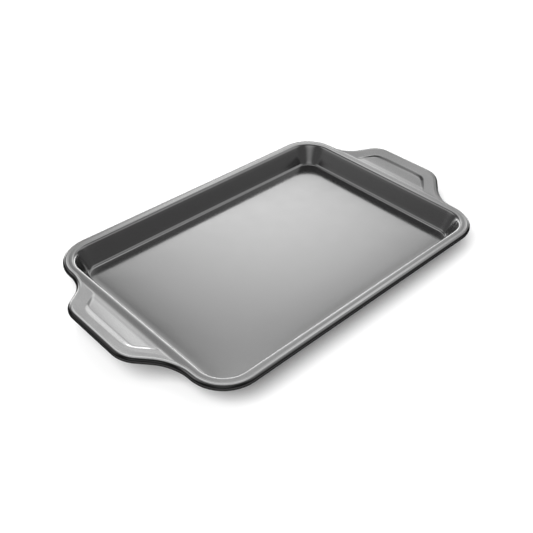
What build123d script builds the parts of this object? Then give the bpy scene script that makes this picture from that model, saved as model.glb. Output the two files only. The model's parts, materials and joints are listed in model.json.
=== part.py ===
from build123d import *
import os
from math import atan, cos, degrees, radians, sin, tan

os.makedirs("parts", exist_ok=True)

# Jelly roll pan: one drawn steel sheet whose edge is rolled round a steel wire.
# The origin is the middle of the underside. X runs along the pan, from handle to handle, and
# Z is up. The pan is the same on both sides of its two middle planes.

# Tray, in millimetres
inner_length = 393.7        # from wall to wall at the flange, along X (15.5 in)
inner_width = 266.7         # the same along Y (10.5 in)
rim_height = 25.4           # crown of the rolled edge above the bench (1 in)
wall_inset = 12.7           # how far each wall leans in on its way down to the floor (0.5 in)
corner_radius = 30.8        # corners of the walls in plan, at the flange
sheet = 0.8                 # thickness of the steel sheet, the same all over
floor_radius = 4.0          # bend from the floor up into the walls, inside
flange_radius = 2.5         # bend from the walls out into the flange, on top
rim_reach = 12.6            # from the wall out to the edge of the rolled rim

# Rolled edge, and the wire inside it
wire_diameter = 5.5
wire_clearance = 0.1        # between the wire and the sheet rolled round it
bead_rise = 0.4             # crown of the roll above the flange
curl_gap = 1.6              # slit between the end of the roll and the underside of the flange
wire_joint_gap = 0.6        # between the two ends of the wire, in the middle of a long side

# Handles, measured at the centre of their rolled edge and in their own sloping plane
handle_reach = 38.5         # from the rolled edge of the flange out to that of the handle
handle_slope = 11.1         # degrees, rising outwards
handle_flare = 50.4         # degrees between the rim and the slanting ends of the handle
handle_root_radius = 48.0   # where the rim sweeps out into the handle
handle_end_radius = 26.5    # outer corners of the handle
handle_root_straight = 2.2  # straight rim between a corner of the tray and the handle
handle_bend_radius = 19.0   # soft fold between flange and handle, at mid thickness

# Sunk panel in each handle, level with the handle at its inner end and deepest at its outer one
panel_border = 11.5         # from the centre of the rolled edge in to the top of the step
panel_start = 4.5           # from the flange's rolled edge out to where the panel begins to sink
panel_depth = 2.0           # at the outer end
panel_step_angle = 25.0     # degrees, slope of the step down into the panel

# Worked out from the sizes above
slope = radians(handle_slope)
flare = radians(handle_flare)
step = radians(panel_step_angle)
flange_top = rim_height - bead_rise
draft = degrees(atan(wall_inset / (flange_top - sheet)))
wall_across = sheet / cos(radians(draft))
bore_radius = wire_diameter / 2 + wire_clearance
bead_radius = bore_radius + sheet
bead_out = rim_reach - bead_radius
bead_x = inner_length / 2 + bead_out
bead_y = inner_width / 2 + bead_out
bead_z = rim_height - bead_radius
bead_corner = corner_radius + bead_out
plate_mid = bead_radius - bead_rise - sheet / 2
plate_top = plate_mid + sheet / 2
plate_under = plate_mid - sheet / 2
sink = atan(panel_depth / (handle_reach - panel_border - panel_start))

# Corners of a handle's rolled edge, along the rim from the middle of the short side
handle_joint = bead_y - bead_corner - handle_root_straight / 2
handle_root = bead_y - bead_corner - handle_root_straight - handle_root_radius * tan(flare / 2)
handle_end = handle_root - handle_reach / tan(flare)

# A handle's plane holds the centre line of the short rim's rolled edge, so the edge turns off
# the rim and up the slope without a kink. In this plane x runs outwards and y along the rim
rim_plane = Plane.XY.offset(bead_z)
handle_plane = Plane(
    origin=(bead_x, 0, bead_z), x_dir=(cos(slope), 0, sin(slope)), z_dir=(-sin(slope), 0, cos(slope))
)
handle_top = handle_plane.offset(plate_top)
panel_floor = Plane(
    origin=handle_top.from_local_coords((panel_start, 0, 0)),
    x_dir=(cos(slope - sink), 0, sin(slope - sink)),
    z_dir=(-sin(slope - sink), 0, cos(slope - sink)),
)

# Centre line of a quarter of the rolled edge: half a long side with its corner, then half a
# handle. The section planes at their starts have x outwards and y up
with BuildLine(rim_plane) as side_line:
    FilletPolyline((0, bead_y), (bead_x, bead_y), (bead_x, handle_joint), radius=bead_corner)

with BuildLine(handle_plane) as handle_line:
    FilletPolyline(
        (0, handle_joint), (0, handle_root), (handle_reach, handle_end), (handle_reach, 0),
        radius=[handle_root_radius, handle_end_radius],
    )

side_path = side_line.line
handle_path = handle_line.line
quarter_edge = [
    (side_path, Plane(side_path @ 0, x_dir=(0, 1, 0), z_dir=side_path % 0)),
    (handle_path, Plane(handle_path @ 0, x_dir=(1, 0, 0), z_dir=handle_path % 0)),
]

# Wire: a loop bent from one length, its two ends meeting in the middle of a long side
with BuildPart() as rim_wire:
    for path, section_plane in quarter_edge:
        with BuildSketch(section_plane):
            Circle(wire_diameter / 2)
        sweep(path=path)
    mirror(about=Plane.YZ)
    mirror(about=Plane.XZ)
    with Locations((0, bead_y, bead_z)):
        Box(wire_joint_gap, 2 * bore_radius, 2 * bore_radius, mode=Mode.SUBTRACT)

# Space inside the roll: the wire with its clearance
with BuildPart() as bore:
    for path, section_plane in quarter_edge:
        with BuildSketch(section_plane):
            Circle(bore_radius)
        sweep(path=path)
    mirror(about=Plane.YZ)
    mirror(about=Plane.XZ)

# Roll: the edge of the sheet turned over the wire, down and back, short of the flange above it
with BuildPart() as roll:
    for path, section_plane in quarter_edge:
        with BuildSketch(section_plane):
            Circle(bead_radius)
            Circle(bore_radius, mode=Mode.SUBTRACT)
            with Locations((-bead_radius / 2, plate_under - curl_gap / 2)):
                Rectangle(bead_radius, curl_gap, mode=Mode.SUBTRACT)
        sweep(path=path)
    mirror(about=Plane.YZ)
    mirror(about=Plane.XZ)

# Inside of the tray, up to the flange
with BuildPart() as cavity:
    with BuildSketch(Plane.XY.offset(flange_top)):
        RectangleRounded(inner_length, inner_width, corner_radius)
    extrude(amount=-(flange_top - sheet), taper=draft)
    fillet(edges().group_by(Axis.Z)[0], floor_radius)

# Flange as a plain plate, without the stretches of it that lead out into the handles
with BuildPart() as flange:
    with BuildSketch(Plane.XY.offset(flange_top - sheet)):
        RectangleRounded(2 * bead_x, 2 * bead_y, bead_corner)
        with GridLocations(inner_length + bead_out, 0, 2, 1):
            Rectangle(bead_out, 2 * handle_joint, mode=Mode.SUBTRACT)
    extrude(amount=sheet)


def panel_room(lower, top):
    """Room over the sunk panel from a depth of top down, or lower, to its sheet's underside."""
    with BuildPart() as room:
        for depth in (top, 1.5 * panel_depth):
            border = panel_border + (depth - lower / cos(step)) / tan(step)
            out = handle_reach - border
            end = handle_end - border * tan(flare / 2)
            root = end + out / tan(flare)
            with BuildSketch(handle_top.offset(-depth)):
                with BuildLine():
                    edge = FilletPolyline(
                        (0, root), (out, end), (out, -end), (0, -root), radius=handle_end_radius - border
                    )
                    Line(edge @ 1, edge @ 0)
                make_face()
        loft(ruled=True)
        with BuildSketch(panel_floor.offset(-lower)):
            Rectangle(2 * handle_reach, 4 * handle_root)
        extrude(amount=handle_reach, mode=Mode.INTERSECT)
    return room.part


panel_under = panel_room(sheet, 0)
panel_over = panel_room(0, -panel_depth)

# Handle: the folded profile of the sheet drawn out along the rim, cut to the outline of the
# rolled edge, and pressed down in the middle
with BuildPart() as handle:
    with BuildSketch(Plane.XZ):
        with BuildLine():
            FilletPolyline(
                (inner_length / 2, bead_z + plate_mid),
                (bead_x - plate_mid * tan(slope / 2), bead_z + plate_mid),
                (
                    bead_x + handle_reach * cos(slope) - plate_mid * sin(slope),
                    bead_z + handle_reach * sin(slope) + plate_mid * cos(slope),
                ),
                radius=handle_bend_radius,
            )
        trace(line_width=sheet)
    extrude(amount=handle_joint, both=True)
    with BuildSketch(handle_plane):
        with BuildLine():
            outline = FilletPolyline(
                (0, handle_joint), (0, handle_root), (handle_reach, handle_end),
                (handle_reach, -handle_end), (0, -handle_root), (0, -handle_joint),
                radius=[handle_root_radius, handle_end_radius, handle_end_radius, handle_root_radius],
            )
            Polyline(
                outline @ 1, (-2 * bead_out, -handle_joint), (-2 * bead_out, handle_joint), outline @ 0
            )
        make_face()
    extrude(amount=2 * bead_radius, mode=Mode.INTERSECT)
    add(panel_under)
    add(panel_over, mode=Mode.SUBTRACT)

# Pan: a block with leaning sides under the flange and handles, hollowed out, and its bends
# rounded by the same sheet thickness on both faces
with BuildPart() as pan_shell:
    with BuildSketch(Plane.XY.offset(flange_top)):
        RectangleRounded(
            inner_length + 2 * wall_across, inner_width + 2 * wall_across, corner_radius + wall_across
        )
    extrude(amount=-flange_top, taper=draft)
    fillet(edges().group_by(Axis.Z)[0], floor_radius + sheet)
    add(flange.part)
    add(handle.part)
    mirror(handle.part, about=Plane.YZ)
    underside = faces().filter_by(Axis.Z).group_by(Axis.Z)[1].sort_by(SortBy.AREA)[-1]
    fillet(underside.inner_wires()[0].edges(), flange_radius - sheet)
    add(cavity.part, mode=Mode.SUBTRACT)
    topside = faces().filter_by(Axis.Z).group_by(Axis.Z)[-1].sort_by(SortBy.AREA)[-1]
    fillet(topside.inner_wires()[0].edges(), flange_radius)
    add(bore.part, mode=Mode.SUBTRACT)
    add(roll.part)

rim_wire.part.label = "rim_wire"
export_step(rim_wire.part, "parts/rim_wire.step")
pan_shell.part.label = "pan_shell"
export_step(pan_shell.part, "parts/pan_shell.step")
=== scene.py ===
# %% [markdown]
# # A jelly roll pan
#
# The pan is pressed from one sheet of coated steel: a floor, four leaning walls, a flange, and
# at each end a handle with a shallow sunk panel. Its whole edge is rolled round a steel wire.
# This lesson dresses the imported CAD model: it makes both pieces again as fine, smooth meshes,
# gives them their finishes, and sets the light and the camera as in the photograph.
#
# Sizes are written in millimetres, as on a drawing, and MM turns them into Blender's metres.

import json
from math import atan2, cos, degrees, pi, radians, sin, sqrt, tan

import bpy
from mathutils import Matrix, Vector

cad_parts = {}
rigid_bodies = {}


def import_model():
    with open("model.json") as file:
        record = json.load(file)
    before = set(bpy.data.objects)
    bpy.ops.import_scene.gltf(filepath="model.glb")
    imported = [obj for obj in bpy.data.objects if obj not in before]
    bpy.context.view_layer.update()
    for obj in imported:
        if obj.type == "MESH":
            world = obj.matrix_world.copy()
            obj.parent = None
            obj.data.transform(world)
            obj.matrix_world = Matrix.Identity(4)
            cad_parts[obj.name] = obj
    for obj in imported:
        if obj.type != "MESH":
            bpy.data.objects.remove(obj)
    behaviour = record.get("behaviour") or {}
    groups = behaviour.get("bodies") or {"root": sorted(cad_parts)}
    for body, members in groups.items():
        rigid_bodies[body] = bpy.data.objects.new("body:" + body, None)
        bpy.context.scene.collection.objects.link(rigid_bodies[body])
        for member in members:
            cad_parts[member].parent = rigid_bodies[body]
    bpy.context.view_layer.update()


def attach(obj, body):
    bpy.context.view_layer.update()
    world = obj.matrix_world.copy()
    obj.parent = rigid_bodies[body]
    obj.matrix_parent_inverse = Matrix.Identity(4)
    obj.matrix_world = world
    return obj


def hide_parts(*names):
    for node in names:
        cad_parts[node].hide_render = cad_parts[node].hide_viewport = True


for leftover in list(bpy.data.objects):
    bpy.data.objects.remove(leftover)

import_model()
MM = 0.001

# %% [markdown]
# ## The sizes of the pan
#
# These are the sizes that the photograph gives once the length between the walls is set to
# 15.5 inches. The origin is the middle of the underside, X runs from handle to handle, and Z is
# up. Everything that follows is worked out from them. The CAD model has the same sizes, but for
# what only polished light shows: here the floor is crowned by under a millimetre, as pressed
# floors are, and the bend into the flange is rounder and the flange 0.2 mm higher.

# %% Sizes of the tray in millimetres
TRAY_LENGTH = 393.7     # from wall to wall at the flange, along X
TRAY_WIDTH = 266.7      # the same along Y
WALL_INSET = 12.7       # how far each wall leans in on its way down to the floor
CORNER_RADIUS = 30.8    # corners of the tray in plan, at the flange
SHEET = 0.8             # thickness of the steel
FLOOR_BEND = 4.0        # from the floor up into the walls, inside
FLOOR_SLOPES = ((0.014, 62), (0.026, 15))  # crown: slopes, and how far in from the edge they end
FLANGE_BEND = 4.2       # from the walls out into the flange, on top
FLANGE_TOP = 25.2       # above the bench
print("tray in mm:", TRAY_LENGTH, "by", TRAY_WIDTH, "by", FLANGE_TOP)

# %% Sizes of the rolled edge, its wire and the handles
BEAD_OUT = 8.95         # from the wall out to the middle of the roll
BEAD_HEIGHT = 21.75     # middle of the roll above the bench
BEAD_RADIUS = 3.65      # outside of the roll
BEAD_BLEND = 5.0        # hollow between the flange and the roll
CURL_END = -193.5       # where the sheet ends under the flange, in degrees round the roll
PAINTED_SHADE_START = 68         # where the painted shade starts, in the same degrees
WIRE_DIAMETER = 5.5
WIRE_JOINT = 0.6        # between the wire's two ends
HANDLE_REACH = 38.5     # from the rolled edge of the flange out to that of the handle
HANDLE_ROOT = 77.7      # from the middle of the short side to the foot of a slanting end
HANDLE_END = 45.85      # and to the outer corner of the handle
ROOT_RADIUS = 48.0      # where the rim sweeps out into the handle
END_RADIUS = 26.5       # outer corners of the handle

half_width = TRAY_WIDTH / 2
bead_x = TRAY_LENGTH / 2 + BEAD_OUT
bead_y = half_width + BEAD_OUT
print("half spans of the rolled edge:", bead_x, bead_y)

# %% [markdown]
# ## The line of the rolled edge
#
# Seen from above, the rolled edge is straight runs joined by round arcs, the way a bender
# follows a full-size drawing. One quarter is worked out and mirrored three times, so the pan
# is exactly the same on all sides. Each station on the line holds its place and the direction
# that points straight out of the pan there, because the section of the sheet is carried round
# on those directions. A drawn curve would give the same line, but its directions would be
# estimated from its points, and a polished round edge shows every such error.

# %% Stations along a quarter of the edge
QUARTER = [
    # corner of the drawing, radius of its arc, longest step on the run after it, and on its arc
    ((0, bead_y), 0, 14, 0),
    ((bead_x, bead_y), CORNER_RADIUS + BEAD_OUT, 1.2, 5.0),
    ((bead_x, HANDLE_ROOT), ROOT_RADIUS, 1.4, 1.4),
    ((bead_x + HANDLE_REACH, HANDLE_END), END_RADIUS, 6, 1.4),
    ((bead_x + HANDLE_REACH, 0), 0, 0, 0),
]


def quarter_stations():
    """Places and outward directions from the middle of a long side to the middle of a handle."""
    points = [Vector(row[0]) for row in QUARTER]
    stations = [(points[0], Vector((0, 1)))]
    for n in range(1, len(points)):
        along = (points[n] - points[n - 1]).normalized()
        outward = Vector((-along.y, along.x))
        end, radius = points[n], QUARTER[n][1]
        turn = 0
        if radius:
            onward = (points[n + 1] - points[n]).normalized()
            turn = atan2(along.cross(onward), along.dot(onward))
            end = end - along * radius * tan(abs(turn) / 2)
        start = stations[-1][0]
        steps = max(1, round((end - start).length / QUARTER[n - 1][2]))
        stations += [(start.lerp(end, s / steps), outward) for s in range(1, steps + 1)]
        if radius:
            side = 1 if turn > 0 else -1
            middle = end + outward * radius * side
            steps = max(1, round(radius * abs(turn) / QUARTER[n][3]))
            for s in range(1, steps + 1):
                spin = Matrix.Rotation(turn * s / steps, 2)
                stations.append((middle - spin @ outward * radius * side, spin @ outward))
    return stations


quarter = quarter_stations()
print("stations on a quarter:", len(quarter), "ends at", tuple(quarter[-1][0]))

# %% The whole edge, by mirroring
mirrored = [
    [(Vector((p.x * sx, p.y * sy)), Vector((d.x * sx, d.y * sy))) for p, d in quarter]
    for sx, sy in ((1, 1), (1, -1), (-1, -1), (-1, 1))
]
stations = (
    mirrored[0][:-1] + mirrored[1][:0:-1] + mirrored[2][:-1] + mirrored[3][:0:-1]
)
print("stations on the whole edge:", len(stations))

# %% [markdown]
# ## The section of the sheet
#
# Cut the pan anywhere and the same section appears: floor, bend, wall, bend, flange or handle,
# and roll. Only the stretch between the wall and the roll changes, from 5 mm on the long sides
# to 43 mm on a handle. So each point of the section says where it is measured from:
# `inner` is a distance out from the top of the wall, `outer` one out from the middle of the
# roll, `share` how far along the flange it lies, and `hub` how far in along the floor.

# %% An arc, and how finely the section is divided
BEND_STEPS, WALL_STEPS, PLATE_STEPS, BLEND_STEPS, CURL_STEPS = 8, 5, 44, 3, 30


def arc(middle, radius, start, end, steps):
    """Points on an arc, from one angle in degrees to another, without the first."""
    angles = [radians(start + (end - start) * s / steps) for s in range(1, steps + 1)]
    return [(middle[0] + radius * cos(a), middle[1] + radius * sin(a)) for a in angles]


draft = degrees(atan2(FLANGE_TOP - SHEET, WALL_INSET))
floor_tangent = FLOOR_BEND * tan(radians(draft / 2))
flange_tangent = FLANGE_BEND * tan(radians(draft / 2))
print("wall slope:", round(draft, 2), "degrees")

# %% The floor, crowned by two gentle slopes
foot = -WALL_INSET - floor_tangent
reach = half_width + foot
# rows of points from the middle of the floor to its edge, by their distance from the edge
rings = [reach, 95, 76, 62, 54, 47, 41, 35, 29, 23, 17, 11, 5, 0]


def floor_rise(inward):
    """Height of the floor above its edge. Each slope of the list eases out at its distance."""
    rise = 0
    for slope, end in FLOOR_SLOPES:
        eased = min(inward, end)
        rise += slope / 2 * (eased + end / pi * sin(pi * eased / end))
    return rise


floor = [(foot, SHEET + floor_rise(ring), ring / reach) for ring in rings]
print("crown of the floor in mm:", round(floor_rise(reach), 2))

# %% The bends and the wall between them
wall_top = Vector((
    -flange_tangent * cos(radians(draft)),
    FLANGE_TOP - flange_tangent * sin(radians(draft)),
))
tray = arc((foot, SHEET + FLOOR_BEND), FLOOR_BEND, -90, draft - 90, BEND_STEPS)
wall_foot = Vector(tray[-1])
tray += [tuple(wall_foot.lerp(wall_top, s / WALL_STEPS)) for s in range(1, WALL_STEPS + 1)]
tray += arc((flange_tangent, FLANGE_TOP - FLANGE_BEND), FLANGE_BEND, draft + 90, 90, BEND_STEPS)
print("points from floor to flange:", len(tray))

# %% The roll, with a small hollow before it
plate_height = FLANGE_TOP - BEAD_HEIGHT
plate_end = sqrt((BEAD_RADIUS + BEAD_BLEND) ** 2 - (plate_height + BEAD_BLEND) ** 2)
blend_middle = (-plate_end, plate_height + BEAD_BLEND)
meet = degrees(atan2(blend_middle[1], blend_middle[0]))
roll = arc(blend_middle, BEAD_BLEND, -90, meet - 180, BLEND_STEPS)
roll += arc((0, 0), BEAD_RADIUS, meet, CURL_END, CURL_STEPS)
print("points on the roll:", len(roll))

# %% [markdown]
# The section is now put together, one row for each point: `inner`, `outer`, height above the
# middle of the roll, `share` and `hub`. A second list, `outside`, marks the points past the
# crown of the roll, where the coat gets painted shade that stands in for a dark reflection.

# %% The whole section
section = [(a - flange_tangent, 0, z - BEAD_HEIGHT, 0, hub) for a, z, hub in floor]
section += [(a - flange_tangent, 0, z - BEAD_HEIGHT, 0, 0) for a, z in tray]
section += [(0, 0, plate_height, s / PLATE_STEPS, 0) for s in range(1, PLATE_STEPS + 1)]
past_meet = round(CURL_STEPS * (meet - PAINTED_SHADE_START) / (meet - CURL_END))
crown = len(section) + BLEND_STEPS + past_meet
section += [(0, a + plate_end, z, 1, 0) for a, z in roll]
outside = [float(n > crown) for n in range(len(section))]
print("points on the section:", len(section), "of which outside:", round(sum(outside)))

# %% [markdown]
# ## Node arithmetic that reads like arithmetic
#
# The sheet is carried round its edge by Geometry Nodes, and that takes some algebra. A wrapper
# round a node's socket lets the script write `a + b * 2` and get the Math nodes for it, which
# is shorter and easier to check than linking them one by one.


# %% Amounts inside a node tree
def maths(operation, *values):
    """One Math node on amounts and plain numbers, and its result."""
    tree = next(v.socket.id_data for v in values if isinstance(v, Amount))
    node = tree.nodes.new("ShaderNodeMath")
    node.operation = operation
    for socket, value in zip(node.inputs, values):
        if isinstance(value, Amount):
            tree.links.new(value.socket, socket)
        else:
            socket.default_value = value
    return Amount(node.outputs[0])


class Amount:
    """A length, angle or share inside a node tree, used like a number."""

    def __init__(self, socket):
        self.socket = socket

    def __add__(self, other):
        return maths("ADD", self, other)

    def __sub__(self, other):
        return maths("SUBTRACT", self, other)

    def __mul__(self, other):
        return maths("MULTIPLY", self, other)

    def __truediv__(self, other):
        return maths("DIVIDE", self, other)

    __radd__ = __add__
    __rmul__ = __mul__

    def __rsub__(self, other):
        return maths("SUBTRACT", other, self)

    def __neg__(self):
        return maths("MULTIPLY", self, -1.0)


# %% Limits, easing and lengths
def between(value, least, most):
    """The value, kept from least to most."""
    return maths("MINIMUM", maths("MAXIMUM", value, least), most)


def ease(value):
    """A share from 0 to 1 that starts and stops gently."""
    held = between(value, 0.0, 1.0)
    return held * held * (3.0 - 2.0 * held)


def length_of(x, y):
    """The length of a flat vector."""
    return maths("SQRT", x * x + y * y)


print("node arithmetic is ready")


# %% Trees and their named inputs
def new_tree(name, sizes):
    """A tree with a geometry, a material and the named sizes as inputs, and how to read them."""
    tree = bpy.data.node_groups.new(name, "GeometryNodeTree")
    face = tree.interface
    face.new_socket("Geometry", in_out="OUTPUT", socket_type="NodeSocketGeometry")
    face.new_socket("Geometry", in_out="INPUT", socket_type="NodeSocketGeometry")
    face.new_socket("Finish", in_out="INPUT", socket_type="NodeSocketMaterial")
    for size, value in sizes.items():
        kind = "Int" if isinstance(value, int) else "Float"
        kind = "Object" if isinstance(value, bpy.types.Object) else kind
        face.new_socket(size, in_out="INPUT", socket_type="NodeSocket" + kind)
    start = tree.nodes.new("NodeGroupInput")
    return tree, start, lambda size: Amount(start.outputs[size])


def add(tree, kind, settings=None, **inputs):
    """A node with its settings and its inputs, which are sockets, amounts or plain values."""
    node = tree.nodes.new(kind)
    for key, value in (settings or {}).items():
        setattr(node, key, value)
    for key, value in inputs.items():
        socket = node.inputs[key.replace("_", " ")]
        value = value.socket if isinstance(value, Amount) else value
        if isinstance(value, bpy.types.NodeSocket):
            tree.links.new(value, socket)
        else:
            socket.default_value = value
    return node


# %% The end of a tree, and running it
def finish_tree(tree, start, geometry):
    """Ends a tree as the export needs it: no instances left, and the finish set."""
    real = add(tree, "GeometryNodeRealizeInstances", Geometry=geometry)
    done = add(
        tree, "GeometryNodeSetMaterial", Geometry=real.outputs[0], Material=start.outputs["Finish"]
    )
    end = tree.nodes.new("NodeGroupOutput")
    tree.links.new(done.outputs[0], end.inputs[0])


def plain_mesh(piece):
    """The piece's mesh as its modifiers leave it. The modifiers are then removed."""
    made = bpy.data.meshes.new_from_object(
        piece.evaluated_get(bpy.context.evaluated_depsgraph_get())
    )
    piece.modifiers.clear()
    piece.data = made
    return made


def run_tree(tree, line, name, finish, sizes):
    """Runs a tree on a helper mesh and returns its result as a plain piece."""
    piece = bpy.data.objects.new(name, line)
    bpy.context.scene.collection.objects.link(piece)
    modifier = piece.modifiers.new(tree.name, "NODES")
    modifier.node_group = tree
    values = {"Finish": finish, **sizes}
    for item in tree.interface.items_tree:
        if item.in_out == "INPUT" and item.name in values:
            modifier[item.identifier] = values[item.name]
    plain_mesh(piece).name = name
    return piece


print("tree helpers are ready")


# %% Helper meshes that the trees read
def helper_mesh(name, points, edges, **attributes):
    """A mesh of loose points with a value or a direction stored on each."""
    mesh = bpy.data.meshes.new(name)
    mesh.from_pydata([[c * MM for c in p] for p in points], edges, [])
    for key, values in attributes.items():
        vector = hasattr(values[0], "__len__")
        kind, field = ("FLOAT_VECTOR", "vector") if vector else ("FLOAT", "value")
        layer = mesh.attributes.new(key, kind, "POINT")
        layer.data.foreach_set(field, [c for v in values for c in v] if vector else values)
    return mesh


def edge_mesh(name, line, closed):
    """The line of the rolled edge, with its outward directions."""
    count = len(line)
    edges = [(n, (n + 1) % count) for n in range(count if closed else count - 1)]
    points = [(p.x, p.y, 0) for p, _ in line]
    return helper_mesh(name, points, edges, outward=[(d.x, d.y, 0) for _, d in line])


# %% The line and the section as helper meshes
edge_line = edge_mesh("edge line", stations, True)
section_mesh = helper_mesh(
    "section points",
    [row[:3] for row in section],
    [],
    share=[row[3] for row in section],
    hub=[row[4] for row in section],
    outside=outside,
)
section_object = bpy.data.objects.new("section points", section_mesh)
bpy.context.scene.collection.objects.link(section_object)
print("helper meshes:", len(edge_line.vertices), "stations,", len(section_mesh.vertices), "points")

# %% [markdown]
# ## Bending the handles up
#
# The press leaves the handles sloping up a little, so that fingers fit under them. The pan is
# worked out flat, and then everything outside the fold is turned up round a gentle bend. The
# rule keeps lengths along the sheet, as folding does, and the roll and its wire use it too, so
# they stay together.

# %% The fold as a rule
FOLD = {
    "Tray Length": TRAY_LENGTH * MM,
    "Fold Start": 9.3 * MM,
    "Fold Length": 3.8 * MM,
    "Handle Slope": radians(11.71),
    "Bead Height": BEAD_HEIGHT * MM,
}


def from_wall(size, x):
    """How far a point lies outside the line of the short wall."""
    return maths("ABSOLUTE", x) - size("Tray Length") * 0.5


def fold_up(size, x, hinge, height):
    """A flat point's new x and z. It turns with the sheet that lies at `hinge` from the wall."""
    radius = size("Fold Length") / size("Handle Slope")
    angle = between((hinge - size("Fold Start")) / radius, 0.0, size("Handle Slope"))
    rise, run = maths("SINE", angle), maths("COSINE", angle)
    past = maths("MAXIMUM", hinge - size("Fold Start") - size("Fold Length"), 0.0)
    before = maths("MINIMUM", hinge, size("Fold Start"))
    step = from_wall(size, x) - hinge
    new_out = before + radius * rise + (past + step) * run - height * rise
    new_z = radius * (1.0 - run) + (past + step) * rise + height * run
    new_x = maths("SIGN", x) * (size("Tray Length") * 0.5 + new_out)
    return new_x, new_z + size("Bead Height")


print("handles rise by", round(degrees(FOLD["Handle Slope"]), 2), "degrees")

# %% [markdown]
# ## The sheet, carried round its edge
#
# A grid has one row of points for each station and one column for each point of the section.
# The tree finds each point's station and section values and puts it in place:
#
# 1. the wall's foot and top are measured from the nearest point of the tray's rounded outline;
# 2. the flange runs from there to the roll, leaving the wall square on and meeting the roll
#    square on, which makes the handle's surface flow out of the rim;
# 3. the flange dips a hair beside the bend, and the sunk panel is pressed in at set distances
#    inside the roll, deeper towards the end;
# 4. the fold turns the handle up.
#
# Doing it by rule and not by modelling means that no surface has to be joined to another.

# %% Sizes that the sheet's tree takes
SHEET_SIZES = {
    **FOLD,
    "Tray Width": TRAY_WIDTH * MM,
    "Corner Radius": CORNER_RADIUS * MM,
    "Flange Start": flange_tangent * MM,
    "Flange End": plate_end * MM,
    "Lead In": 24.0 * MM,
    "Flange Dip": 0.12 * MM,
    "Dip Width": 7.0 * MM,
    "Panel Border": 13.9 * MM,
    "Panel Step": 8.5 * MM,
    "End Border": 15.6 * MM,
    "End Step": 4.5 * MM,
    "End Start": 26.0 * MM,
    "End Fade": 16.0 * MM,
    "Panel Start": 9.0 * MM,
    "Panel Length": 24.0 * MM,
    "Panel Depth": 1.2 * MM,
    "Stations": len(stations),
    "Section Points": len(section),
    "Section": section_object,
}
ROLL_SHARE = 0.7  # past this share of the flange, the sheet starts to turn with the roll
print("named sizes of the sheet:", len(SHEET_SIZES))


# %% Reading values inside a tree
def stored(tree, geometry, kind, source, place):
    """A value that another mesh holds, read at one of its points."""
    node = add(tree, "GeometryNodeSampleIndex", {"data_type": kind, "domain": "POINT"})
    tree.links.new(geometry, node.inputs["Geometry"])
    tree.links.new(source, node.inputs["Value"])
    tree.links.new(place.socket, node.inputs["Index"])
    return node.outputs[0]


def named(tree, name, kind):
    """An attribute, by its name."""
    node = add(tree, "GeometryNodeInputNamedAttribute", {"data_type": kind}, Name=name)
    return node.outputs[0]


def parts(tree, vector):
    """The x, y and z of a vector."""
    node = add(tree, "ShaderNodeSeparateXYZ", Vector=vector)
    return [Amount(s) for s in node.outputs]


# %% [markdown]
# The flange starts at `a`, on the tray's outline, and ends at `b`, beside the roll. Between
# them it is a cubic curve, which keeps to a direction at each end: straight out from the wall,
# and straight into the roll. On a handle the two directions differ, and the curve turns gently
# from one to the other.


# %% The flange between wall and roll
def flange_place(size, edge, out, share, inner, outer):
    """A point's flat place, and the length of the flange there."""
    core_x = size("Tray Length") * 0.5 - size("Corner Radius")
    core_y = size("Tray Width") * 0.5 - size("Corner Radius")
    near_x, near_y = between(edge[0], -core_x, core_x), between(edge[1], -core_y, core_y)
    away_x, away_y = edge[0] - near_x, edge[1] - near_y
    away = length_of(away_x, away_y)
    away_x, away_y = away_x / away, away_y / away
    first = size("Corner Radius") + size("Flange Start")
    a_x, a_y = near_x + away_x * first, near_y + away_y * first
    b_x, b_y = edge[0] - out[0] * size("Flange End"), edge[1] - out[1] * size("Flange End")

    chord = length_of(b_x - a_x, b_y - a_y)
    lead = maths("MINIMUM", chord, size("Lead In"))
    squared, cubed = share * share, share * share * share
    to_b = 3.0 * squared - 2.0 * cubed
    to_a = 1.0 - to_b
    leave = (cubed - 2.0 * squared + share) * chord + inner
    arrive = (cubed - squared) * lead + outer
    x = a_x * to_a + b_x * to_b + away_x * leave + out[0] * arrive
    y = a_y * to_a + b_y * to_b + away_y * leave + out[1] * arrive
    return x, y, chord


def drawn_in(size, x, y, hub):
    """The floor's points, drawn in to the middle line of the pan."""
    spine = (size("Tray Length") - size("Tray Width")) * 0.5
    return x + (between(x, -spine, spine) - x) * hub, y - y * hub


# %% [markdown]
# The sunk panel has a wide, soft step along the handle's outer edge and a narrower one at its
# slanting ends, so its border and its step change with the distance from the middle of the
# handle. It starts level with the flange and is deepest at its outer end.


# %% The sunk panel
def panel_press(size, x, y, inside):
    """How deep the press goes at a point that lies `inside` the rolled edge."""
    end = ease((maths("ABSOLUTE", y) - size("End Start")) / size("End Fade"))
    border = size("Panel Border") * (1.0 - end) + size("End Border") * end
    width = size("Panel Step") * (1.0 - end) + size("End Step") * end
    pressed = ease((inside - border) / width + 0.5)
    out = from_wall(size, x)
    left = 1.0 - between((out - size("Panel Start")) / size("Panel Length"), 0.0, 1.0)
    begun = ease((out - size("Panel Start")) / size("Panel Start"))
    return (1.0 - left * left) * begun * pressed * size("Panel Depth")


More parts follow.
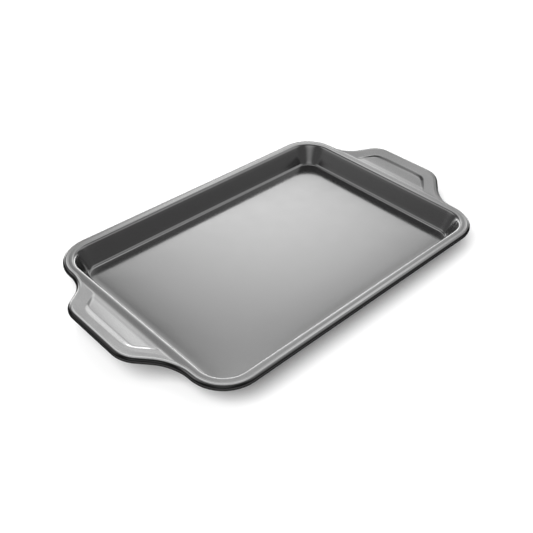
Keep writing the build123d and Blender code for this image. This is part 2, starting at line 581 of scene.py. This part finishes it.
# %% The grid, and what its points read
def sheet_grid(tree, start, size):
    """The grid, and what its points read from their station and their place in the section."""
    count, points = size("Stations"), size("Section Points")
    grid = add(tree, "GeometryNodeMeshGrid", Vertices_X=count + 1.0, Vertices_Y=points)
    index = Amount(add(tree, "GeometryNodeInputIndex").outputs[0])
    row = maths("FLOOR", (index + 0.5) / points)
    column = index - row * points
    station = maths("MODULO", row, count)

    line = start.outputs["Geometry"]
    info = add(tree, "GeometryNodeObjectInfo", Object=start.outputs["Section"])
    section_points = info.outputs["Geometry"]
    position = add(tree, "GeometryNodeInputPosition").outputs[0]
    outward = named(tree, "outward", "FLOAT_VECTOR")
    edge = parts(tree, stored(tree, line, "FLOAT_VECTOR", position, station))
    out = parts(tree, stored(tree, line, "FLOAT_VECTOR", outward, station))
    measured = parts(tree, stored(tree, section_points, "FLOAT_VECTOR", position, column))
    marks = [
        Amount(stored(tree, section_points, "FLOAT", named(tree, name, "FLOAT"), column))
        for name in ("share", "hub", "outside")
    ]
    return grid.outputs["Mesh"], edge, out, measured, marks


# %% The sheet's tree
def sheet_tree():
    """The tree that carries the section round the edge."""
    tree, start, size = new_tree("Sheet round its edge", SHEET_SIZES)
    grid, edge, out, (inner, outer, height), (share, hub, painted_shade_mark) = sheet_grid(tree, start, size)

    # the flat place, and the very slight dip along the flange, just outside the bend
    x, y, chord = flange_place(size, edge, out, share, inner, outer)
    x, y = drawn_in(size, x, y, hub)
    with_edge = ease((share - ROLL_SHARE) / (1.0 - ROLL_SHARE))
    dipped = ease(share * chord / size("Dip Width"))
    height = height - size("Flange Dip") * dipped * (1.0 - with_edge)

    # the sunk panel
    flat = add(tree, "ShaderNodeCombineXYZ", X=x, Y=y)
    nearest = add(
        tree,
        "GeometryNodeProximity",
        {"target_element": "EDGES"},
        Target=start.outputs["Geometry"],
        Source_Position=flat.outputs[0],
    )
    height = height - panel_press(size, x, y, Amount(nearest.outputs["Distance"]))

    # the fold: the roll turns with its own middle, and the sheet near it as well
    beside = from_wall(size, x)
    hinge = beside + (from_wall(size, edge[0]) - beside) * with_edge
    new_x, new_z = fold_up(size, x, hinge, height)

    # the grid's points, marked where shade is painted and put in place
    place = add(tree, "ShaderNodeCombineXYZ", X=new_x, Y=y, Z=new_z)
    marked = add(
        tree,
        "GeometryNodeStoreNamedAttribute",
        {"data_type": "FLOAT", "domain": "POINT"},
        Geometry=grid,
        Name="outside",
        Value=painted_shade_mark,
    )
    moved = add(
        tree, "GeometryNodeSetPosition", Geometry=marked.outputs[0], Position=place.outputs[0]
    )
    merged = add(tree, "GeometryNodeMergeByDistance", Geometry=moved.outputs[0], Distance=1e-6)
    finish_tree(tree, start, merged.outputs[0])
    return tree


sheet_rule = sheet_tree()
print("nodes in the sheet's tree:", len(sheet_rule.nodes))

# %% [markdown]
# ## The finish of the sheet
#
# The steel is sold already coated: a satin grey non-stick film with fine metal flake in it. It
# mirrors broad light softly, so the floor shades from bright to dark across the pan, and close
# up it has a faint sparkle. The flake and the slight unevenness of the film are noise patterns
# on Object coordinates, at their real sizes, so they stay put from every side. The outside of
# the roll looks nearly black, because it mirrors a dark ground that the white paper can't give,
# so there and on the underside, where the sheet's own `outside` attribute says so, shade is
# painted in: the coat's grey and its edge reflection are turned down.


# %% What both finishes are made of
def new_finish(name, metallic):
    """A material, with its tree, its shader and the Object coordinates."""
    finish = bpy.data.materials.new(name)
    finish.use_nodes = True
    tree = finish.node_tree
    shader = tree.nodes["Principled BSDF"]
    shader.inputs["Metallic"].default_value = metallic
    where = add(tree, "ShaderNodeTexCoord").outputs["Object"]
    return finish, tree, shader, where


def ranged(tree, noise, span, result):
    """A noise whose values from one span are stretched over another."""
    node = add(tree, "ShaderNodeMapRange", Value=noise.outputs[0])
    for name, value in zip(("From Min", "From Max", "To Min", "To Max"), span + result):
        node.inputs[name].default_value = value
    return Amount(node.outputs[0])


def as_grey(tree, amount, socket):
    """Gives a colour socket a grey of this amount."""
    grey = add(tree, "ShaderNodeCombineColor")
    for channel in grey.inputs[:3]:
        tree.links.new(amount.socket, channel)
    tree.links.new(grey.outputs[0], socket)


# %% The coated steel
FLAKE_SCALE, FILM_SCALE = 1400.0, 45.0     # noise per metre: flake under 1 mm, film over 2 cm
COAT_GREY, COAT_ROUGHNESS = (0.19, 0.23), (0.12, 0.15)
# COAT_EDGE is the edge tint of the whole coat; the other two turn the outside's grey and edge
# reflection down as painted shade
COAT_EDGE, OUTSIDE_PAINTED_SHADE, OUTSIDE_PAINTED_EDGE_SHADE = 0.85, 0.84, 0.6
GRAIN_STRENGTH, GRAIN_DEPTH = 0.06, 0.2 * MM


def coated_steel():
    """Satin grey film with fine flake, with painted shade where the sheet is marked as outside."""
    finish, tree, shader, where = new_finish("coated steel", 0.95)
    flake = add(tree, "ShaderNodeTexNoise", Vector=where, Scale=FLAKE_SCALE, Detail=2.0)
    film = add(tree, "ShaderNodeTexNoise", Vector=where, Scale=FILM_SCALE, Detail=3.0)
    marks = Amount(add(tree, "ShaderNodeAttribute", {"attribute_name": "outside"}).outputs["Fac"])
    tone = ranged(tree, flake, (0.25, 0.75), COAT_GREY)
    # painted shade: where the sheet is marked outside, the grey and the edge reflection are turned
    # down
    as_grey(tree, tone * (1.0 - marks * OUTSIDE_PAINTED_SHADE), shader.inputs["Base Color"])
    as_grey(tree, COAT_EDGE - marks * OUTSIDE_PAINTED_EDGE_SHADE, shader.inputs["Specular Tint"])
    gloss = ranged(tree, film, (0.3, 0.7), COAT_ROUGHNESS)
    tree.links.new(gloss.socket, shader.inputs["Roughness"])
    grain = add(
        tree, "ShaderNodeBump",
        Height=flake.outputs[0], Strength=GRAIN_STRENGTH, Distance=GRAIN_DEPTH,
    )
    tree.links.new(grain.outputs[0], shader.inputs["Normal"])
    return finish


coating = coated_steel()
print("nodes in the coating:", len(coating.node_tree.nodes))

# %% Making the sheet
pan_sheet = run_tree(sheet_rule, edge_line, "pan_sheet", coating, SHEET_SIZES)
top = pan_sheet.data
if top.polygons[0].normal.z < 0:
    top.flip_normals()
print("top surface:", len(top.vertices), "points,", len(top.polygons), "faces")

# %% [markdown]
# ## Thickness
#
# The surface so far is the top of the sheet. Solidify gives it the sheet's thickness on the
# underside, which is also the inside of the roll, and leaves a narrow cut edge where the roll
# ends. The new points come after the old ones, and they are all marked as outside. Faces are
# smooth, and only the cut edge keeps its corners.

# %% Giving the sheet its thickness
SHARP_ANGLE = radians(50)

thickness = pan_sheet.modifiers.new("sheet thickness", "SOLIDIFY")
thickness.thickness = SHEET * MM
thickness.offset = -1
thickness.use_even_offset = True
solid = plain_mesh(pan_sheet)
# the underside is marked outside too, so the painted shade covers it
for point in list(solid.attributes["outside"].data)[len(top.vertices):]:
    point.value = 1.0
solid.shade_smooth()
solid.set_sharp_from_angle(angle=SHARP_ANGLE)
print("pan sheet:", sum(len(p.vertices) - 2 for p in solid.polygons), "triangles")

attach(pan_sheet, "root")
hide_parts("pan_shell")

# %% [markdown]
# ## The wire in the roll
#
# The edge is rolled round a hard steel wire, which keeps the rim straight and the handles
# stiff. It shows only from below, through the slit that the roll leaves. It is one length of
# round wire whose ends meet in the middle of a long side, so a second, short tree turns the
# same line, opened there, into a curve and gives it a round section. Its finish is bare drawn
# steel, a little uneven in tone and gloss.

# %% The bare wire
WIRE_GREY, WIRE_ROUGHNESS, WIRE_SCALE = (0.45, 0.65), (0.28, 0.42), 600.0


def bright_wire():
    """Bare steel wire."""
    finish, tree, shader, where = new_finish("bright wire", 1.0)
    draw = add(tree, "ShaderNodeTexNoise", Vector=where, Scale=WIRE_SCALE, Detail=4.0)
    as_grey(tree, ranged(tree, draw, (0.0, 1.0), WIRE_GREY), shader.inputs["Base Color"])
    gloss = ranged(tree, draw, (0.0, 1.0), WIRE_ROUGHNESS)
    tree.links.new(gloss.socket, shader.inputs["Roughness"])
    return finish


steel = bright_wire()
print("nodes in the wire's finish:", len(steel.node_tree.nodes))

# %% The wire's tree
WIRE_SIZES = {**FOLD, "Wire Radius": WIRE_DIAMETER / 2 * MM, "Sides": 24}


def wire_tree():
    """The tree that folds an open line like the sheet's edge and makes round wire of it."""
    tree, start, size = new_tree("Wire in the roll", WIRE_SIZES)
    position = add(tree, "GeometryNodeInputPosition").outputs[0]
    x, y, z = parts(tree, position)
    new_x, new_z = fold_up(size, x, from_wall(size, x), z)
    place = add(tree, "ShaderNodeCombineXYZ", X=new_x, Y=y, Z=new_z)
    folded = add(
        tree, "GeometryNodeSetPosition", Geometry=start.outputs[0], Position=place.outputs[0]
    )
    curve = add(tree, "GeometryNodeMeshToCurve", Mesh=folded.outputs[0])
    ring = add(
        tree, "GeometryNodeCurvePrimitiveCircle",
        Resolution=start.outputs["Sides"], Radius=start.outputs["Wire Radius"],
    )
    round_wire = add(
        tree, "GeometryNodeCurveToMesh",
        Curve=curve.outputs[0], Profile_Curve=ring.outputs[0], Fill_Caps=True,
    )
    finish_tree(tree, start, round_wire.outputs[0])
    return tree


wire_rule = wire_tree()
print("nodes in the wire's tree:", len(wire_rule.nodes))

# %% Making the wire
first_end, last_end = [
    (Vector((side * WIRE_JOINT / 2, bead_y)), Vector((0, 1))) for side in (1, -1)
]
wire_line = edge_mesh("wire line", [first_end, *stations[1:], last_end], False)
wire_loop = run_tree(wire_rule, wire_line, "wire_loop", steel, WIRE_SIZES)
wire_loop.data.shade_smooth()
wire_loop.data.set_sharp_from_angle(angle=SHARP_ANGLE)
print("wire:", sum(len(p.vertices) - 2 for p in wire_loop.data.polygons), "triangles")

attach(wire_loop, "root")
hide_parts("rim_wire")

bpy.data.objects.remove(section_object)

# %% [markdown]
# ## Floor and light
#
# The pan stands on plain white paper. In a studio, a coated pan is lit by what it mirrors. A
# broad soft light hangs behind it, which its floor shows as a bright pool. Below that, a pale
# band and a bright strip at the horizon draw the light lines along the near bends. Two small
# lights stand higher, and three broad, dim ones on the other sides make the pan look like
# itself from there as well. The rest of the room stays dark. All are soft patches in the world,
# worked out from direction alone, and the camera sees plain white in their place.

# %% The room, and angles in it
world = bpy.data.worlds.new("studio")
bpy.context.scene.world = world
world.use_nodes = True
room = world.node_tree
look = add(room, "ShaderNodeTexCoord").outputs["Generated"]
elevation = maths("ARCSINE", parts(room, look)[2]) * (180 / pi)


def direction(azimuth, height):
    """A unit vector from angles in degrees. Azimuth is measured from X towards Y."""
    a, e = radians(azimuth), radians(height)
    return Vector((cos(a) * cos(e), sin(a) * cos(e), sin(e)))


def patch(azimuth, height, radius, fade):
    """A round light: 1 in its middle, and easing out over the last `fade` degrees."""
    facing = add(room, "ShaderNodeVectorMath", {"operation": "DOT_PRODUCT"})
    room.links.new(look, facing.inputs[0])
    facing.inputs[1].default_value = direction(azimuth, height)
    away = maths("ARCCOSINE", Amount(facing.outputs["Value"])) * (180 / pi)
    return ease((radius - away) / fade)


# %% The lights as patches
ROOM, POOL, BAND, STRIP = 0.19, 3.6, 2.6, 8.0  # brightness, where 1 is plain white
SMALL_LIGHTS = [
    # azimuth and elevation of the middle, radius, fade, all in degrees, and brightness
    (2, 46, 24.0, 24.0, 1.2),
    (45, 61, 20.0, 18.0, 2.1),
    (225, 42, 29.0, 22.0, 0.9),
    (135, 38, 29.0, 22.0, 0.9),
    (-45, 38, 29.0, 22.0, 0.9),
]

# the pool of light behind the pan fades out downwards, from 34 degrees to 24
pool = patch(46, 26, 28.5, 28.5) * ease((elevation - 24.1) / 9.6)
# the band ends at 29 degrees and the strip at 9, each with a soft edge
back = patch(48, 0, 65.0, 40.0)
band = back * ease((29.0 - elevation) / 8.0)
strip = back * ease((9.0 - elevation) / 8.0)
level = pool * POOL + band * BAND + strip * STRIP + ROOM
for azimuth, height, radius, fade, brightness in SMALL_LIGHTS:
    level = level + patch(azimuth, height, radius, fade) * brightness
print("lights in the room:", 3 + len(SMALL_LIGHTS))

# %% White for the camera
camera_ray = Amount(add(room, "ShaderNodeLightPath").outputs["Is Camera Ray"])
shown = level * (1.0 - camera_ray) + camera_ray
sky = room.nodes["Background"]
sky.inputs["Color"].default_value = (1, 1, 1, 1)
room.links.new(shown.socket, sky.inputs["Strength"])
print("nodes in the room:", len(room.nodes))

# %% [markdown]
# Patches all round give hardly any shadow, so one broad lamp adds it. It stands high on the
# left and is as wide as a large soft box close by, which makes the shadow's edge melt away. The
# pan doesn't mirror it.

# %% A broad lamp for the shadow
LAMP_STRENGTH, LAMP_WIDTH, LAMP_AT = 3.05, 60, (180, 52)  # angles in degrees
lamp_data = bpy.data.lights.new("shadow lamp", "SUN")
lamp = bpy.data.objects.new("shadow lamp", lamp_data)
bpy.context.scene.collection.objects.link(lamp)
lamp_data.energy = LAMP_STRENGTH
lamp_data.angle = radians(LAMP_WIDTH)
lamp.rotation_mode = "QUATERNION"
lamp.rotation_quaternion = direction(*LAMP_AT).to_track_quat("Z", "Y")
lamp.visible_glossy = False
print("lamp set,", LAMP_WIDTH, "degrees wide")

# %% The paper that the pan stands on
PAPER = 15000 * MM
paper_mesh = bpy.data.meshes.new("paper")
corners = [(-PAPER, -PAPER, 0), (PAPER, -PAPER, 0), (PAPER, PAPER, 0), (-PAPER, PAPER, 0)]
paper_mesh.from_pydata(corners, [], [(0, 1, 2, 3)])
paper = bpy.data.objects.new("paper", paper_mesh)
bpy.context.scene.collection.objects.link(paper)
print("paper laid,", round(2 * PAPER), "m wide")

# %% [markdown]
# The paper is matt and nearly white. A faint glow, seen only by the camera and in reflections,
# lifts it to white where nothing shades it, and adds no light to the pan.

# %% The paper's white
PAPER_WHITE, PAPER_ROUGHNESS, PAPER_GLOW = 0.85, 0.9, 0.1
white = bpy.data.materials.new("white paper")
white.use_nodes = True
shader = white.node_tree.nodes["Principled BSDF"]
shader.inputs["Base Color"].default_value = (PAPER_WHITE, PAPER_WHITE, PAPER_WHITE, 1)
shader.inputs["Roughness"].default_value = PAPER_ROUGHNESS
shader.inputs["Specular IOR Level"].default_value = 0.0
shader.inputs["Emission Color"].default_value = (1, 1, 1, 1)
path = add(white.node_tree, "ShaderNodeLightPath").outputs
seen = maths("MAXIMUM", Amount(path["Is Camera Ray"]), Amount(path["Is Glossy Ray"]))
seen = maths("MAXIMUM", seen, Amount(path["Is Transmission Ray"]))
glow = seen * PAPER_GLOW
white.node_tree.links.new(glow.socket, shader.inputs["Emission Strength"])
paper_mesh.materials.append(white)
print("paper coloured")

# %% [markdown]
# ## The camera
#
# The camera was found by fitting the pan's straight edges and its outline to the photograph:
# it stands high over one corner and is turned about its own axis by just over a degree.

# %% Camera
camera_data = bpy.data.cameras.new("camera")
camera = bpy.data.objects.new("camera", camera_data)
bpy.context.scene.collection.objects.link(camera)
bpy.context.scene.camera = camera
RIGHT = Vector((0.72352911, -0.69008159, 0.0171181))
UP = Vector((0.41854504, 0.45828155, 0.7840906))
BACK = Vector((-0.5489314, -0.56014768, 0.62041026))
PLACE = Vector((-485.672, -483.258, 523.746)) * MM
LENS, SENSOR = 49.592, 36
rows = [[axis[n] for axis in (RIGHT, UP, BACK, PLACE)] for n in range(3)]
camera.matrix_world = Matrix([*rows, (0, 0, 0, 1)])
camera_data.sensor_width = SENSOR
camera_data.lens = LENS
camera_data.clip_start, camera_data.clip_end = 0.01, 60
bpy.context.scene.view_settings.view_transform = "Standard"
print("camera at", [round(c / MM) for c in camera.location], "mm")
